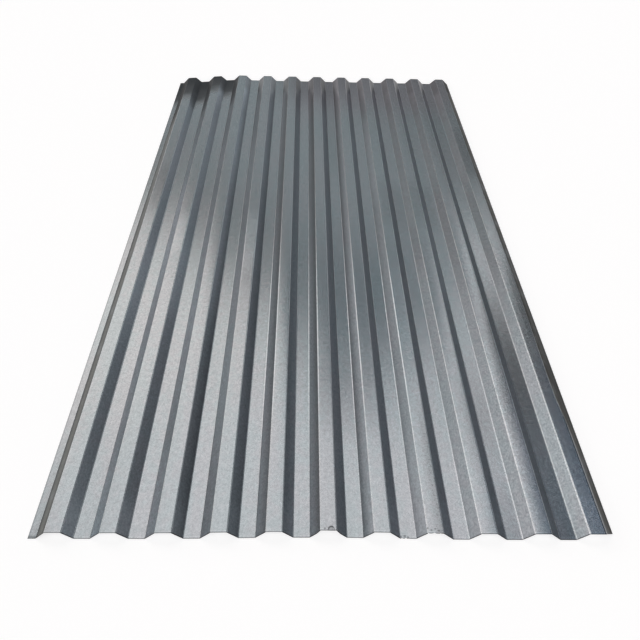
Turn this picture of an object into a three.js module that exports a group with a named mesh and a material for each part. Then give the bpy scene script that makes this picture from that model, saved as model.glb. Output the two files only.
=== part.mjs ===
// Trapezoidal metal sheet: one strip of zinc-coated steel, cold rolled into eleven parallel ribs.
// Units are millimetres. X runs across the ribs, Y runs along them and Z points up.
// The sheet lies flat, with the origin at the middle of its length and width, at floor level.

import * as THREE from 'three';

// Driving dimensions. Widths are taken between fold lines, at the middle of the thickness.
const ribCount = 11;
const crestWidth = 29;
const valleyWidth = 30;
const webRun = 20.5; // how far a sloping web reaches across the sheet
const depth = 20; // floor to the top of a crest
const thickness = 0.5;
const foldRadius = 5; // on the hollow side of every fold
const lapFlangeWidth = 14; // low flange outside the first rib, which the next sheet covers
const sheetLength = 2100;

const foldSteps = 4; // facets of one fold

// Sizes that follow from the ones above.
const pitch = crestWidth + valleyWidth + 2 * webRun;
const lowLevel = thickness / 2;
const highLevel = depth - thickness / 2;
const webAngle = Math.atan2(highLevel - lowLevel, webRun);
const midRadius = foldRadius + thickness / 2;

// Directions in which the strip runs, as angles from level.
const level = 0;
const rising = webAngle;
const falling = -webAngle;

// Moves a point of the section along a heading, and off it to the upper side.
function shifted(point, heading, along, offset) {
  return new THREE.Vector2(
    point.x + along * Math.cos(heading) - offset * Math.sin(heading),
    point.y + along * Math.sin(heading) + offset * Math.cos(heading),
  );
}

// The folds from left to right. Each turns the strip from one heading to the next at a corner.
function foldsAcross() {
  const folds = [];
  for (let rib = 0; rib < ribCount; rib += 1) {
    const crestStart = rib * pitch;
    const crestEnd = crestStart + crestWidth;
    folds.push({ corner: new THREE.Vector2(crestStart - webRun, lowLevel), from: level, to: rising });
    folds.push({ corner: new THREE.Vector2(crestStart, highLevel), from: rising, to: level });
    folds.push({ corner: new THREE.Vector2(crestEnd, highLevel), from: level, to: falling });
    if (rib < ribCount - 1) {
      folds.push({ corner: new THREE.Vector2(crestEnd + webRun, lowLevel), from: falling, to: level });
    }
  }
  return folds;
}

// Points along one fold, on the face that lies at the given offset from the middle of the strip.
function foldPoints(fold, offset) {
  const turn = fold.to - fold.from;
  const side = Math.sign(turn);
  const tangentReach = midRadius * Math.tan(Math.abs(turn) / 2);
  const centre = shifted(fold.corner, fold.from, -tangentReach, side * midRadius);
  const points = [];
  for (let step = 0; step <= foldSteps; step += 1) {
    const heading = fold.from + (turn * step) / foldSteps;
    points.push(shifted(centre, heading, 0, offset - side * midRadius));
  }
  return points;
}

// One face of the strip from the slit edge of the lap flange to that of the outer web.
function facePoints(folds, offset) {
  const firstFold = folds[0];
  const lastFold = folds[folds.length - 1];
  const outerWebLength = Math.hypot(webRun, highLevel - lowLevel);
  const points = [shifted(firstFold.corner, firstFold.from, -lapFlangeWidth, offset)];
  for (const fold of folds) {
    points.push(...foldPoints(fold, offset));
  }
  points.push(shifted(lastFold.corner, lastFold.to, outerWebLength, offset));
  return points;
}

// The closed section of the whole sheet.
function sheetSection() {
  const folds = foldsAcross();
  const lowerFace = facePoints(folds, -thickness / 2);
  const upperFace = facePoints(folds, thickness / 2);
  return new THREE.Shape([...lowerFace, ...upperFace.reverse()]);
}

// Rolls the section out along Y and centres the sheet over the origin, with its valleys on the floor.
function sheetGeometry() {
  const geometry = new THREE.ExtrudeGeometry(sheetSection(), {
    depth: sheetLength,
    bevelEnabled: false,
  });
  geometry.rotateX(Math.PI / 2);
  geometry.computeBoundingBox();
  const centre = geometry.boundingBox.getCenter(new THREE.Vector3());
  geometry.translate(-centre.x, -centre.y, 0);
  return geometry;
}

const zincCoatedSteel = new THREE.MeshStandardMaterial({
  color: 0x9aa1a7,
  metalness: 0.9,
  roughness: 0.42,
});

const sheet = new THREE.Mesh(sheetGeometry(), zincCoatedSteel);
sheet.name = 'sheet';

const corrugatedSheet = new THREE.Group();
corrugatedSheet.add(sheet);

export default corrugatedSheet;
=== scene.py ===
import math
from collections import namedtuple

import bmesh
import bpy
from mathutils import Matrix, Vector


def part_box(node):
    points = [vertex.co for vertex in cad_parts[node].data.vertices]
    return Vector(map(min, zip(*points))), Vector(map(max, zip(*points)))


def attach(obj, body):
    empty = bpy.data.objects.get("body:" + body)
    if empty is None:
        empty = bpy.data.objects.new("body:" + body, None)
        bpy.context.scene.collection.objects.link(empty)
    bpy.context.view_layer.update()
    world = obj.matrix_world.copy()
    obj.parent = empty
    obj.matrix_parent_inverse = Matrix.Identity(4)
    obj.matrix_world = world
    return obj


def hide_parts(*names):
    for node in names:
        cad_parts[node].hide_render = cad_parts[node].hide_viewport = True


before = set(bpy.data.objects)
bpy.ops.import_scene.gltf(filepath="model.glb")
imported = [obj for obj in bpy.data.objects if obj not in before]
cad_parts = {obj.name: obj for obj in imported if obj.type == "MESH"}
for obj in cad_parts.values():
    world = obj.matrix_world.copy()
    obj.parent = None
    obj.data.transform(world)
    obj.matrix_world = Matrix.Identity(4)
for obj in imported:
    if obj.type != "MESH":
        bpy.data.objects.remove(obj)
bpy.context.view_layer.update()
scene = bpy.context.scene

# ---------------------------------------------------------------------------------------------
# Sheet. The real piece is one strip of cold rolled steel, dipped in molten zinc and then bent by
# a line of rollers into parallel ribs, until nothing but the folds and the flats between them is
# left. A shear cut it to length, so both ends show the bare section of the strip.
# ---------------------------------------------------------------------------------------------
(left_edge, near_end, floor_level), (right_edge, far_end, crest_level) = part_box("sheet")
RIBS = 11
PITCH = 0.100
CREST_WIDTH = 0.029  # between its fold lines
WEB_RUN = 0.0205  # how far across a web goes while it rises
STEEL = 0.0005
FOLD_RADIUS = 0.002
LAP_FLANGE = 0.014
SUPPORT = 0.0024  # from a fold line to the first loop of the flat beside it
INNER_LOOPS = (0.3, 0.7)  # where the others lie, from the first loop of a flat to its last
FOLD_FACETS = 6
STATIONS = 81  # cross sections along the length
END_CROWDING = 0.45  # how much closer together they lie towards the cut ends
FLANGE_STEPS = 3
MERGE = 0.00004  # points closer together than this are one
CREST_CROWN = 0.00024  # the most that the middle of a crest stands above its two folds
VALLEY_CROWN = 0.00003
RIPPLE = 0.00025
RIPPLE_LENGTH = 0.26
ROLLING_SEED = 163429
NEAR_BOW = 0.0036  # how far the near cut bows in, at its deepest
NEAR_BOW_PLACE = -0.015
NEAR_BOW_HALF_WIDTH = 0.17
NEAR_BOW_EDGE = 0.30  # the width over which it fades out on either side
SET_BACK = 0.0030  # the end of the sixth crest stands back behind the others
SET_BACK_HALF_WIDTH = 0.019
SET_BACK_EDGE = 0.010
CORNER_CUT_FROM = -0.3296  # from here to its left corner the far cut runs back
CORNER_CUT_SLOPE = 0.205
SPRUNG = 0.0025  # the most that the ribs have sprung towards the middle, halfway out to the edges
SPRUNG_FROM = -1.45  # from here, short of the near end, it grows to its most at the next place
SPRUNG_WHOLLY_FROM = -0.40
SPRUNG_LESS_TO = 1.0  # and from there it sinks until, here, only a share is left
SPRUNG_LESS = 0.5
SPRUNG_LEFT = 0.0034  # the ribs have sprung to the left besides, by three quarters of this at most
middle_depth = crest_level - floor_level - STEEL  # between the middles of the steel
first_crest = left_edge + LAP_FLANGE + WEB_RUN + CREST_WIDTH / 2
last_fold = first_crest + (RIBS - 1) * PITCH + CREST_WIDTH / 2
sixth_crest = first_crest + 5 * PITCH
valley_width = PITCH - CREST_WIDTH - 2 * WEB_RUN


def straight_with_supports(start, end):
    """Points from start up to, but not including, end, with a loop close to each fold."""
    start, end = Vector(start), Vector(end)
    near = (end - start).normalized() * SUPPORT
    first, last = start + near, end - near
    return [start, first, *(first.lerp(last, share) for share in INNER_LOOPS), last]


def rib_section():
    """The fold lines of one rib and the valley after it, as a chain of points."""
    low = STEEL / 2
    high = low + middle_depth
    corners = [
        (-WEB_RUN, 0, low),
        (0, 0, high),
        (CREST_WIDTH, 0, high),
        (CREST_WIDTH + WEB_RUN, 0, low),
        (PITCH - WEB_RUN, 0, low),
    ]
    points = []
    for start, end in zip(corners, corners[1:]):
        points += straight_with_supports(start, end)
    points.append(Vector(corners[-1]))
    chain = [(index, index + 1) for index in range(len(points) - 1)]
    section = bpy.data.meshes.new("rib_section")
    section.from_pydata(points, chain, [])
    return section


class NodeTree:
    """Adds nodes to a tree of geometry, material or world nodes, and joins them up."""

    def __init__(self, tree):
        self.tree = tree
        self.inputs = {}

    def input(self, name, kind, value=None):
        socket = self.tree.interface.new_socket(name, in_out="INPUT", socket_type=kind)
        if value is not None:
            socket.default_value = value
        self.inputs[name] = socket.identifier

    def output(self, name, kind):
        self.tree.interface.new_socket(name, in_out="OUTPUT", socket_type=kind)

    def feed(self, socket, value):
        if isinstance(value, bpy.types.NodeSocket):
            self.tree.links.new(value, socket)
        else:
            socket.default_value = value

    def node(self, kind, inputs=None, **settings):
        made = self.tree.nodes.new(kind)
        for setting, value in settings.items():
            setattr(made, setting, value)
        for name, value in (inputs or {}).items():
            self.feed(made.inputs[name], value)
        return made

    def result(self, kind, inputs=None, **settings):
        """The first output of a new node."""
        return self.node(kind, inputs, **settings).outputs[0]

    def math(self, operation, *terms):
        return self.result("ShaderNodeMath", dict(enumerate(terms)), operation=operation)

    def plus(self, first, second):
        return self.math("ADD", first, second)

    def minus(self, first, second):
        return self.math("SUBTRACT", first, second)

    def over(self, first, second):
        return self.math("DIVIDE", first, second)

    def times(self, first, *others):
        for other in others:
            first = self.math("MULTIPLY", first, other)
        return first

    def times_plus(self, first, second, added):
        return self.math("MULTIPLY_ADD", first, second, added)

    def split(self, vector):
        return self.node("ShaderNodeSeparateXYZ", {0: vector}).outputs

    def combine(self, **parts):
        return self.result("ShaderNodeCombineXYZ", parts)

    def ramp(self, value, start, end, low=0.0, high=1.0):
        """Goes smoothly from low to high while the value goes from start to end."""
        bounds = {"Value": value, "From Min": start, "From Max": end, "To Min": low, "To Max": high}
        return self.result("ShaderNodeMapRange", bounds, interpolation_type="SMOOTHSTEP")

    def past(self, value, border, edge):
        """Nought up to the border and one past it."""
        return self.ramp(value, border - edge / 2, border + edge / 2)

    def within(self, value, border, edge):
        """One up to the border and nought past it."""
        return self.ramp(value, border - edge / 2, border + edge / 2, 1.0, 0.0)

    def window(self, value, middle, half_size, edge):
        """One while the value lies within half_size of the middle, and nought past it."""
        return self.within(self.math("ABSOLUTE", self.minus(value, middle)), half_size, edge)


def near_cut(tree, across):
    """Where the near cut lies, at a place across the sheet."""
    bow = tree.window(across, NEAR_BOW_PLACE, NEAR_BOW_HALF_WIDTH, NEAR_BOW_EDGE)
    set_back = tree.window(across, sixth_crest, SET_BACK_HALF_WIDTH, SET_BACK_EDGE)
    bowed = tree.times_plus(bow, NEAR_BOW, near_end)
    return tree.times_plus(set_back, SET_BACK, bowed)


def far_cut(tree, across):
    """Where the far cut lies, at a place across the sheet."""
    past = tree.math("MAXIMUM", tree.minus(CORNER_CUT_FROM, across), 0.0)
    return tree.times_plus(past, -CORNER_CUT_SLOPE, far_end)


def sprung(tree, place):
    """How far the ribs have sprung to the right at a place. Those on the right half lie nearer to
    the middle, least of all at the near end, and those on the left half moved less."""
    half_turn = tree.times(place["X"], math.pi / (right_edge - left_edge))
    inwards = tree.math("SINE", tree.times(half_turn, -2.0))
    along = tree.times(tree.ramp(place["Y"], SPRUNG_FROM, SPRUNG_WHOLLY_FROM),
                       tree.ramp(place["Y"], SPRUNG_WHOLLY_FROM, SPRUNG_LESS_TO, 1.0, SPRUNG_LESS))
    to_left = tree.times(tree.math("SINE", half_turn), SPRUNG_LEFT)
    return tree.times(inwards, tree.times_plus(along, SPRUNG, to_left))


def crowned(tree, given, position):
    """How far rolling has bent a point of the strip: crests are bowed up, valleys down a little."""
    place = tree.split(position)
    from_first = tree.minus(place["X"], given["First Crest"])
    rib = tree.math("ROUND", tree.over(from_first, given["Pitch"]))
    from_crest = tree.math("ABSOLUTE", tree.minus(from_first, tree.times(rib, given["Pitch"])))
    from_valley = tree.minus(tree.over(given["Pitch"], 2.0), from_crest)
    draws = tree.node("FunctionNodeRandomValue", {"ID": rib, "Seed": given["Seed"]}, data_type="FLOAT")
    rib_draw = draws.outputs[1]
    height = tree.over(tree.minus(place["Z"], given["Floor Middle"]), given["Depth"])
    crest_bow = tree.times(rib_draw, given["Crest Crown"], height)
    valley_bow = tree.times(given["Valley Crown"], tree.minus(1.0, height))

    def droop(distance, half_flat):
        return tree.math("MINIMUM", tree.math("POWER", tree.over(distance, half_flat), 2.0), 1.0)

    fold_reach = FOLD_RADIUS * math.tan(math.atan(middle_depth / WEB_RUN) / 2)
    crest_drop = tree.times(crest_bow, droop(from_crest, CREST_WIDTH / 2 - fold_reach))
    valley_rise = tree.times(valley_bow, droop(from_valley, valley_width / 2 - fold_reach))
    ripple = tree.result("ShaderNodeTexNoise", {
        "Vector": position,
        "W": given["Seed"],
        "Scale": tree.over(1.0, given["Ripple Length"]),
        "Detail": 1.0,
    }, noise_dimensions="4D")
    inward = tree.times_plus(height, -2.0, 1.0)
    rippled = tree.times(ripple, inward, given["Ripple"])
    return tree.plus(rippled, tree.minus(valley_rise, crest_drop))


def rolled_section(tree, given):
    """The ribs side by side, less the valley after the last one, and the lap flange before them."""
    flange_end = tree.plus(given["Left Edge"], given["Lap Flange"])
    rib_places = tree.node("GeometryNodeMeshLine", {
        "Count": given["Ribs"],
        "Start Location": tree.combine(X=tree.plus(flange_end, WEB_RUN)),
        "Offset": tree.combine(X=given["Pitch"]),
    })
    ribs = tree.node("GeometryNodeInstanceOnPoints", {
        "Points": rib_places.outputs["Mesh"],
        "Instance": given["Rib"],
    })
    real_ribs = tree.node("GeometryNodeRealizeInstances", {"Geometry": ribs.outputs[0]})
    across = tree.split(tree.result("GeometryNodeInputPosition"))["X"]
    trimmed = tree.node("GeometryNodeDeleteGeometry", {
        "Geometry": real_ribs.outputs[0],
        "Selection": tree.math("GREATER_THAN", across, given["Right Edge"]),
    })
    flange = tree.node("GeometryNodeMeshLine", {
        "Count": FLANGE_STEPS + 1,
        "Start Location": tree.combine(X=given["Left Edge"], Z=given["Floor Middle"]),
        "Offset": tree.combine(X=tree.over(given["Lap Flange"], FLANGE_STEPS)),
    })
    joined = tree.node("GeometryNodeJoinGeometry")
    tree.feed(joined.inputs[0], trimmed.outputs[0])
    tree.feed(joined.inputs[0], flange.outputs["Mesh"])
    corners = tree.node("GeometryNodeMergeByDistance", {"Geometry": joined.outputs[0], "Distance": MERGE})
    corner_curve = tree.node("GeometryNodeMeshToCurve", {"Mesh": corners.outputs[0]})
    rounded = tree.node("GeometryNodeFilletCurve", {
        "Curve": corner_curve.outputs[0],
        "Count": FOLD_FACETS,
        "Radius": tree.plus(given["Fold Radius"], tree.over(given["Steel"], 2.0)),
    }, mode="POLY")
    section_mesh = tree.node("GeometryNodeCurveToMesh", {"Curve": rounded.outputs[0]})
    section_points = tree.node("GeometryNodeMergeByDistance", {
        "Geometry": section_mesh.outputs[0],
        "Distance": MERGE,
    })
    return tree.result("GeometryNodeMeshToCurve", {"Mesh": section_points.outputs[0]})


def folded_strip(tree, given, section):
    """A flat grid with one column for each point of the section, folded to it. Its cross sections
    lie closer together towards the two cut ends."""
    columns = tree.node("GeometryNodeAttributeDomainSize", {"Geometry": section}, component="CURVE")
    grid = tree.node("GeometryNodeMeshGrid", {
        "Vertices X": columns.outputs["Point Count"],
        "Vertices Y": given["Stations"],
    })
    index = tree.result("GeometryNodeInputIndex")
    column = tree.math("FLOOR", tree.over(index, given["Stations"]))
    station = tree.math("MODULO", index, given["Stations"])
    fold_point = tree.split(tree.result("GeometryNodeSampleIndex", {
        "Geometry": section,
        "Value": tree.result("GeometryNodeInputPosition"),
        "Index": column,
    }, data_type="FLOAT_VECTOR", domain="POINT"))
    share = tree.over(station, tree.minus(given["Stations"], 1.0))
    along = tree.times_plus(share, 2.0, -1.0)
    cubed = tree.times(along, along, along)
    eased = tree.times_plus(along, 1 + END_CROWDING, tree.times(cubed, -END_CROWDING))
    near = near_cut(tree, fold_point["X"])
    reach = tree.minus(far_cut(tree, fold_point["X"]), near)
    folded = tree.node("GeometryNodeSetPosition", {
        "Geometry": grid.outputs["Mesh"],
        "Position": tree.combine(
            X=fold_point["X"],
            Y=tree.times_plus(tree.times_plus(eased, 0.5, 0.5), reach, near),
            Z=fold_point["Z"],
        ),
    })
    position = tree.result("GeometryNodeInputPosition")
    bowed = tree.node("GeometryNodeSetPosition", {
        "Geometry": folded.outputs[0],
        "Offset": tree.combine(Z=crowned(tree, given, position)),
    })
    return tree.result("GeometryNodeSetPosition", {
        "Geometry": bowed.outputs[0],
        "Offset": tree.combine(X=sprung(tree, tree.split(position))),
    })


def steel_strip(tree, given, middle):
    """From the middle of the steel down to its underside, turned to face down, and from there up
    to the upper side, with the cut edges between them."""
    half_down = tree.node("ShaderNodeVectorMath", {
        0: tree.result("GeometryNodeInputNormal"),
        "Scale": tree.over(given["Steel"], -2.0),
    }, operation="SCALE")
    lower = tree.node("GeometryNodeSetPosition", {
        "Geometry": middle,
        "Offset": half_down.outputs[0],
    })
    underside = tree.node("GeometryNodeFlipFaces", {"Mesh": lower.outputs[0]})
    upper = tree.node("GeometryNodeExtrudeMesh", {
        "Mesh": lower.outputs[0],
        "Offset Scale": given["Steel"],
        "Individual": False,
    })
    both = tree.node("GeometryNodeJoinGeometry")
    tree.feed(both.inputs[0], upper.outputs["Mesh"])
    tree.feed(both.inputs[0], underside.outputs[0])
    closed = tree.node("GeometryNodeMergeByDistance", {"Geometry": both.outputs[0], "Distance": MERGE})
    smooth = tree.node("GeometryNodeSetShadeSmooth", {"Geometry": closed.outputs[0]})
    real = tree.node("GeometryNodeRealizeInstances", {"Geometry": smooth.outputs[0]})
    coated = tree.node("GeometryNodeSetMaterial", {"Geometry": real.outputs[0], "Material": given["Coat"]})
    sheared = tree.node("GeometryNodeSetMaterial", {
        "Geometry": coated.outputs[0],
        "Selection": upper.outputs["Side"],
        "Material": given["Cut Edge"],
    })
    return sheared.outputs[0]


def rolled_sheet_tree():
    """Lays the strip out as a flat grid and folds it to the section of all its ribs."""
    tree = NodeTree(bpy.data.node_groups.new("rolled_sheet", "GeometryNodeTree"))
    tree.input("Rib", "NodeSocketGeometry")
    for name, count in {"Ribs": RIBS, "Stations": STATIONS, "Seed": ROLLING_SEED}.items():
        tree.input(name, "NodeSocketInt", count)
    sizes = {
        "Pitch": PITCH,
        "Depth": middle_depth,
        "Floor Middle": floor_level + STEEL / 2,
        "Lap Flange": LAP_FLANGE,
        "Left Edge": left_edge,
        "Right Edge": right_edge,
        "First Crest": first_crest,
        "Fold Radius": FOLD_RADIUS,
        "Steel": STEEL,
        "Crest Crown": CREST_CROWN,
        "Valley Crown": VALLEY_CROWN,
        "Ripple": RIPPLE,
        "Ripple Length": RIPPLE_LENGTH,
    }
    for name, size in sizes.items():
        tree.input(name, "NodeSocketFloat", size)
    for name in ("Coat", "Cut Edge"):
        tree.input(name, "NodeSocketMaterial")
    tree.output("Sheet", "NodeSocketGeometry")
    given = tree.node("NodeGroupInput").outputs
    middle = folded_strip(tree, given, rolled_section(tree, given))
    tree.feed(tree.node("NodeGroupOutput").inputs[0], steel_strip(tree, given, middle))
    return tree


# The coat. Zinc freezes on the steel in small crystals, and the rollers then rub it lengthwise. The webs
# carry painted shade: darker copies of the zinc, the right-facing ones darkest, and they are duller.
ZINC = (0.539, 0.587, 0.606, 1)
LEFT_WEB_SHADED_ZINC = (0.299, 0.334, 0.357, 1)
RIGHT_WEB_SHADED_ZINC = (0.231, 0.258, 0.288, 1)
ZINC_METALLIC = 0.92
ZINC_ROUGHNESS = 0.21
WEB_ROUGHNESS = 0.34
CLOUD_ROUGHNESS = 0.05
BUMP_HEIGHT = 0.000016
WEB_FOOT = 0.0018
WEB_HEAD = 0.0186
WEB_BORDER = 0.001


def blend(tree, first, second, share):
    """A colour that goes from first to second as share goes from nought to one."""
    mix = tree.node("ShaderNodeMix", {"Factor": share, 6: first, 7: second}, data_type="RGBA")
    return mix.outputs[2]


def toned(tree, colour, tone):
    """The colour made lighter or darker by a tone around one."""
    scaled = tree.node("ShaderNodeVectorMath", {0: colour, "Scale": tone}, operation="SCALE")
    return scaled.outputs[0]


def distance(tree, first, second):
    apart = tree.node("ShaderNodeVectorMath", {0: first, 1: second}, operation="DISTANCE")
    return apart.outputs["Value"]


class Coat(NodeTree):
    """The nodes of the coat, with what each of its layers asks for: where a point lay on the sheet
    as it was rolled, how far it is from both cuts and which faces it is on. The layers change
    its colour and its tone, which is around one."""

    def __init__(self, tree):
        super().__init__(tree)
        now = self.split(self.node("ShaderNodeTexCoord").outputs["Object"])
        self.x = self.minus(now["X"], sprung(self, now))
        self.y = now["Y"]
        self.z = now["Z"]
        self.place = self.lengthened(1.0)
        self.from_near = self.minus(self.y, near_cut(self, self.x))
        self.from_far = self.minus(far_cut(self, self.x), self.y)
        self.from_crest = self.math("WRAP", self.minus(self.x, first_crest), PITCH / 2, -PITCH / 2)
        self.from_edge = self.minus(self.x, left_edge)
        self.web = self.times(self.past(self.z, WEB_FOOT, WEB_BORDER),
                              self.within(self.z, WEB_HEAD, WEB_BORDER))
        self.flats = self.minus(1.0, self.web)
        self.right_facing = self.times(self.web, self.ramp(self.from_crest, -WEB_BORDER, WEB_BORDER))
        self.left_facing = self.minus(self.web, self.right_facing)
        self.faces = {
            "flats": self.flats,
            "left-facing": self.left_facing,
            "right-facing": self.right_facing,
        }
        self.tone = 1.0
        # The webs take painted shade: darker copies of the zinc, the right-facing ones darkest.
        self.colour = blend(self, ZINC, LEFT_WEB_SHADED_ZINC, self.left_facing)
        self.recolour(self.right_facing, RIGHT_WEB_SHADED_ZINC)

    def lengthened(self, stretch):
        """The place, for a pattern that is longer along the sheet by stretch."""
        return self.combine(X=self.x, Y=self.over(self.y, stretch), Z=self.z)

    def noise(self, size, place=None, detail=2.0, roughness=0.5):
        return self.result("ShaderNodeTexNoise", {
            "Vector": self.place if place is None else place,
            "Scale": 1 / size,
            "Detail": detail,
            "Roughness": roughness,
        })

    def retoned(self, tone, share, factor):
        """The tone, times the factor where share is one."""
        return self.times(tone, self.times_plus(share, self.minus(factor, 1.0), 1.0))

    def retone(self, share, factor):
        self.tone = self.retoned(self.tone, share, factor)

    def recolour(self, share, colour):
        self.colour = blend(self, self.colour, colour, share)

    def at_near_end(self, reach, held):
        """One from the near cut to a held share of the reach, and nought past all of it."""
        return self.ramp(self.from_near, reach * held, reach, 1.0, 0.0)

    def at_far_end(self, reach, held):
        """The same from the far cut."""
        return self.ramp(self.from_far, reach * held, reach, 1.0, 0.0)


# Crystals, marks of the rollers and clouds. The crystals are rubbed longer along the sheet, and
# show more on the right side, where the flats mirror little light.
CRYSTAL = 0.0025
CRYSTAL_STRETCH = 1.15
CRYSTAL_SHARE = 0.5
SPECKLE_SHARE = 1.4
SPECKLE_FINENESS = 0.7  # of that of the crystals
GRAIN_CONTRAST = 0.24
SHADED_GRAIN_CONTRAST = 0.42
SHADED_FROM = 0.30
WHOLLY_SHADED_FROM = 0.46
ROLL_MARK_WIDTH = 0.0022
ROLL_MARK_LENGTH = 0.9
ROLL_MARK_CONTRAST = 0.10
CLOUD = 0.0065
CLOUD_STRETCH = 1.9
CLOUD_CONTRAST = 0.56
WEB_MOTTLE = 0.0035
WEB_MOTTLE_STRETCH = 1.4
WEB_MOTTLE_CONTRAST = 1.1


def zinc_grain_group():
    """Crystals and fine speckle of the coat, as a tone around one and a height."""
    grain = NodeTree(bpy.data.node_groups.new("zinc_grain", "ShaderNodeTree"))
    grain.input("Place", "NodeSocketVector")
    grain.input("Crystal", "NodeSocketFloat", CRYSTAL)
    grain.input("Contrast", "NodeSocketFloat", GRAIN_CONTRAST)
    grain.output("Tone", "NodeSocketFloat")
    grain.output("Height", "NodeSocketFloat")
    given = grain.node("NodeGroupInput").outputs
    fineness = grain.over(1.0, given["Crystal"])
    crystals = grain.node("ShaderNodeTexVoronoi", {"Vector": given["Place"], "Scale": fineness})
    crystal = grain.node("ShaderNodeSeparateColor", {"Color": crystals.outputs["Color"]}).outputs["Red"]
    speckle = grain.result("ShaderNodeTexNoise", {
        "Vector": given["Place"],
        "Scale": grain.times(fineness, SPECKLE_FINENESS),
        "Detail": 3.0,
        "Roughness": 0.6,
    })
    spread = grain.plus(grain.times(grain.minus(crystal, 0.5), CRYSTAL_SHARE),
                        grain.times(grain.minus(speckle, 0.5), SPECKLE_SHARE))
    out = grain.node("NodeGroupOutput")
    grain.feed(out.inputs["Tone"], grain.times_plus(spread, given["Contrast"], 1.0))
    grain.feed(out.inputs["Height"], grain.plus(spread, 0.5))
    return grain.tree


def freeze_and_roll(coat, grain_group):
    """Puts on the crystals, roll marks and clouds, and gives back the crystals' height and the
    clouds, for the finish."""
    grain = coat.node("ShaderNodeGroup", node_tree=grain_group)
    coat.feed(grain.inputs["Place"], coat.lengthened(CRYSTAL_STRETCH))
    coat.feed(grain.inputs["Contrast"], coat.ramp(
        coat.x, SHADED_FROM, WHOLLY_SHADED_FROM, GRAIN_CONTRAST, SHADED_GRAIN_CONTRAST))
    roll_marks = coat.noise(ROLL_MARK_WIDTH, coat.lengthened(ROLL_MARK_LENGTH / ROLL_MARK_WIDTH))
    clouds = coat.noise(CLOUD, coat.lengthened(CLOUD_STRETCH), detail=4.0, roughness=0.8)
    mottle = coat.noise(WEB_MOTTLE, coat.lengthened(WEB_MOTTLE_STRETCH), detail=3.0, roughness=0.7)
    coat.tone = coat.times(
        grain.outputs["Tone"],
        coat.times_plus(roll_marks, ROLL_MARK_CONTRAST, 1 - ROLL_MARK_CONTRAST / 2),
        coat.times_plus(clouds, CLOUD_CONTRAST, 1 - CLOUD_CONTRAST / 2),
        coat.times_plus(coat.times(coat.minus(mottle, 0.5), coat.web), WEB_MOTTLE_CONTRAST, 1.0),
    )
    return grain.outputs["Height"], clouds


# Tints of the coat, which multiply its colour: mauve patches where it has weathered, and dust on
# the right part of the far end.
MAUVE = (1.056, 0.995, 1.0, 1)
MAUVE_FROM = 0.38  # of the noise that spreads it
WHOLLY_MAUVE_FROM = 0.62
TINT = 0.020
PATINA_WIDTH = 0.045
PATINA_LENGTH = 0.28
DUST = (1.035, 0.90, 0.92, 1)
DUST_REACH = 0.42
DUST_LEFT = -0.16
WHOLLY_DUSTY_FROM = -0.02


def tint(coat):
    small = coat.noise(TINT, coat.combine(X=coat.y, Y=coat.x, Z=coat.z))
    large = coat.noise(PATINA_WIDTH, coat.lengthened(PATINA_LENGTH / PATINA_WIDTH), detail=1.0)
    weathered = coat.ramp(coat.times(coat.plus(small, large), 0.5), MAUVE_FROM, WHOLLY_MAUVE_FROM)
    dusty = coat.times(coat.at_far_end(DUST_REACH, 0.3), coat.ramp(coat.x, DUST_LEFT, WHOLLY_DUSTY_FROM))
    tints = blend(coat, blend(coat, (1, 1, 1, 1), MAUVE, weathered), DUST, dusty)
    product = coat.node("ShaderNodeVectorMath", {0: coat.colour, 1: tints}, operation="MULTIPLY")
    coat.colour = product.outputs[0]


# Painted light and shade on the webs. On the second to fourth ribs those that face left are painted
# lighter, most of all in a slanting band of painted sheen. Those that face right carry painted shade
# towards the near end on the left half, and painted light at the far end. For each such area: its middle,
# half width and edge across the sheet, where along the sheet it starts and is whole, and its tone.
Area = namedtuple("Area", "faces x half_width edge start whole tone")
PAINTED_LIGHT_AREAS = (
    Area("left-facing", -0.318, 0.135, 0.07, 0.70, 0.30, 1.28),
    Area("right-facing", -0.27, 0.15, 0.10, -0.15, -0.65, 0.76),
    Area("right-facing", -0.40, 0.20, 0.10, 0.00, 0.50, 1.20),
)
SHEEN_BAND_PLACE = (-0.30, -0.32)
SHEEN_BAND_HALF_WIDTH = 0.175
SHEEN_BAND_WIDTH_EDGE = 0.12
SHEEN_BAND_HALF_LENGTH = 0.34
SHEEN_BAND_LENGTH_EDGE = 0.45
SHEEN_BAND_SLANT = -1.8
SHEEN_BAND_TONE = 1.30

# Painted shading: some webs are lighter or darker towards the crest. For each rib's web, by how much.
RIB_HALF_WIDTH = 0.045
RIB_EDGE = 0.01
SHADE_GRADES = {
    "left-facing": {5: -0.28, 6: -0.34, 7: 0.34, 8: 0.10},
    "right-facing": {1: 0.08, 2: 0.08, 3: 0.28, 4: 0.14, 5: -0.22},
}

# Painted glints along the folds beside the left-facing webs of the middle ribs.
PAINTED_GLINT_TONE = 1.28
PAINTED_GLINT_HALF_WIDTH = 0.0015
PAINTED_GLINTS_PLACE = (0.032, -0.48)
PAINTED_GLINTS_HALF_WIDTH = 0.19
PAINTED_GLINTS_WIDTH_EDGE = 0.06
PAINTED_GLINTS_HALF_LENGTH = 0.26
PAINTED_GLINTS_LENGTH_EDGE = 0.25


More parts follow.
